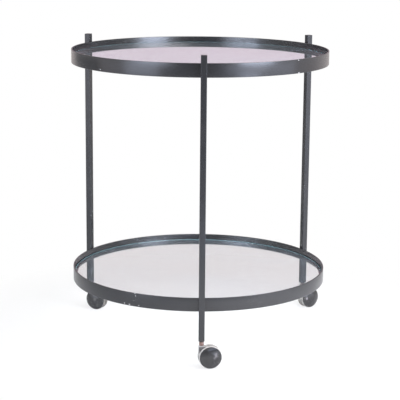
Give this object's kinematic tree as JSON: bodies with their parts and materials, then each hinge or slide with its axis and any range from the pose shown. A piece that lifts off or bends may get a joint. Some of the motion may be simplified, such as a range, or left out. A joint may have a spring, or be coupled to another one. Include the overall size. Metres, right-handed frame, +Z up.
{
  "type": "serving cart",
  "caption": "Round serving cart with clear glass shelves in charcoal steel hoops, square legs outside the hoops and domed twin-wheel casters.",
  "frame": {"origin": "on the floor, under the common axis of both hoops", "axes": "+Z up; -Y towards the front leg; +X to the right of someone facing the front leg"},
  "size_m": [0.5907, 0.6042, 0.6705],
  "materials": {
    "charcoal_paint": "semi-gloss charcoal paint with small chips",
    "clear_glass": "clear float glass with ground edge",
    "clear_pad": "clear soft pad",
    "dark_plastic": "glossy dark grey moulding",
    "pale_tread": "satin pale grey tread",
    "pale_plastic": "satin pale grey moulding",
    "copper_stem": "worn copper plating",
    "bare_steel": "turned steel"
  },
  "bodies": {
    "frame": {"top_hoop": "charcoal_paint", "top_ledge": "charcoal_paint", "top_weld_pads": "charcoal_paint", "top_glass_pads": "clear_pad", "bottom_hoop": "charcoal_paint", "bottom_ledge": "charcoal_paint", "bottom_weld_pads": "charcoal_paint", "bottom_glass_pads": "clear_pad", "front_leg": "charcoal_paint", "front_leg_cap": "charcoal_paint", "front_caster_socket": "bare_steel", "rear_left_leg": "charcoal_paint", "rear_left_leg_cap": "charcoal_paint", "rear_left_caster_socket": "bare_steel", "rear_right_leg": "charcoal_paint", "rear_right_leg_cap": "charcoal_paint", "rear_right_caster_socket": "bare_steel"},
    "top_glass": {"top_glass": "clear_glass"},
    "bottom_glass": {"bottom_glass": "clear_glass"},
    "front_caster": {"front_caster_stem": "copper_stem", "front_caster_grip_ring": "bare_steel", "front_caster_body": "pale_plastic", "front_caster_axle": "bare_steel", "front_caster_axle_clips": "bare_steel"},
    "front_caster_left_wheel": {"front_caster_left_wheel": "dark_plastic", "front_caster_left_tread": "pale_tread", "front_caster_left_dome": "dark_plastic"},
    "front_caster_right_wheel": {"front_caster_right_wheel": "dark_plastic", "front_caster_right_tread": "pale_tread", "front_caster_right_dome": "dark_plastic"},
    "rear_left_caster": {"rear_left_caster_stem": "copper_stem", "rear_left_caster_grip_ring": "bare_steel", "rear_left_caster_body": "pale_plastic", "rear_left_caster_axle": "bare_steel", "rear_left_caster_axle_clips": "bare_steel"},
    "rear_left_caster_left_wheel": {"rear_left_caster_left_wheel": "dark_plastic", "rear_left_caster_left_tread": "pale_tread", "rear_left_caster_left_dome": "dark_plastic"},
    "rear_left_caster_right_wheel": {"rear_left_caster_right_wheel": "dark_plastic", "rear_left_caster_right_tread": "pale_tread", "rear_left_caster_right_dome": "dark_plastic"},
    "rear_right_caster": {"rear_right_caster_stem": "copper_stem", "rear_right_caster_grip_ring": "bare_steel", "rear_right_caster_body": "pale_plastic", "rear_right_caster_axle": "bare_steel", "rear_right_caster_axle_clips": "bare_steel"},
    "rear_right_caster_left_wheel": {"rear_right_caster_left_wheel": "dark_plastic", "rear_right_caster_left_tread": "pale_tread", "rear_right_caster_left_dome": "dark_plastic"},
    "rear_right_caster_right_wheel": {"rear_right_caster_right_wheel": "dark_plastic", "rear_right_caster_right_tread": "pale_tread", "rear_right_caster_right_dome": "dark_plastic"}
  },
  "joints": [
    {"name": "top_glass_lift", "type": "slide", "parent": "frame", "child": "top_glass", "axis": [0, 0, 1], "range_m": [0, 0.02]},
    {"name": "bottom_glass_lift", "type": "slide", "parent": "frame", "child": "bottom_glass", "axis": [0, 0, 1], "range_m": [0, 0.02]},
    {"name": "front_caster_swivel", "type": "hinge", "parent": "frame", "child": "front_caster", "pos_m": [0, -0.3, 0.0615], "axis": [0, 0, 1], "continuous": true},
    {"name": "front_caster_left_wheel_roll", "type": "hinge", "parent": "front_caster", "child": "front_caster_left_wheel", "pos_m": [0.01822, -0.29679, 0.025], "axis": [0.1736, -0.9848, 0], "continuous": true},
    {"name": "front_caster_right_wheel_roll", "type": "hinge", "parent": "front_caster", "child": "front_caster_right_wheel", "pos_m": [0.01822, -0.29679, 0.025], "axis": [0.1736, -0.9848, 0], "continuous": true},
    {"name": "rear_left_caster_swivel", "type": "hinge", "parent": "frame", "child": "rear_left_caster", "pos_m": [-0.25981, 0.15, 0.0615], "axis": [0, 0, 1], "continuous": true},
    {"name": "rear_left_caster_left_wheel_roll", "type": "hinge", "parent": "rear_left_caster", "child": "rear_left_caster_left_wheel", "pos_m": [-0.24332, 0.1416, 0.025], "axis": [-0.454, -0.891, 0], "continuous": true},
    {"name": "rear_left_caster_right_wheel_roll", "type": "hinge", "parent": "rear_left_caster", "child": "rear_left_caster_right_wheel", "pos_m": [-0.24332, 0.1416, 0.025], "axis": [-0.454, -0.891, 0], "continuous": true},
    {"name": "rear_right_caster_swivel", "type": "hinge", "parent": "frame", "child": "rear_right_caster", "pos_m": [0.25981, 0.15, 0.0615], "axis": [0, 0, 1], "continuous": true},
    {"name": "rear_right_caster_left_wheel_roll", "type": "hinge", "parent": "rear_right_caster", "child": "rear_right_caster_left_wheel", "pos_m": [0.27514, 0.16034, 0.025], "axis": [0.5592, -0.829, 0], "continuous": true},
    {"name": "rear_right_caster_right_wheel_roll", "type": "hinge", "parent": "rear_right_caster", "child": "rear_right_caster_right_wheel", "pos_m": [0.27514, 0.16034, 0.025], "axis": [0.5592, -0.829, 0], "continuous": true}
  ]
}
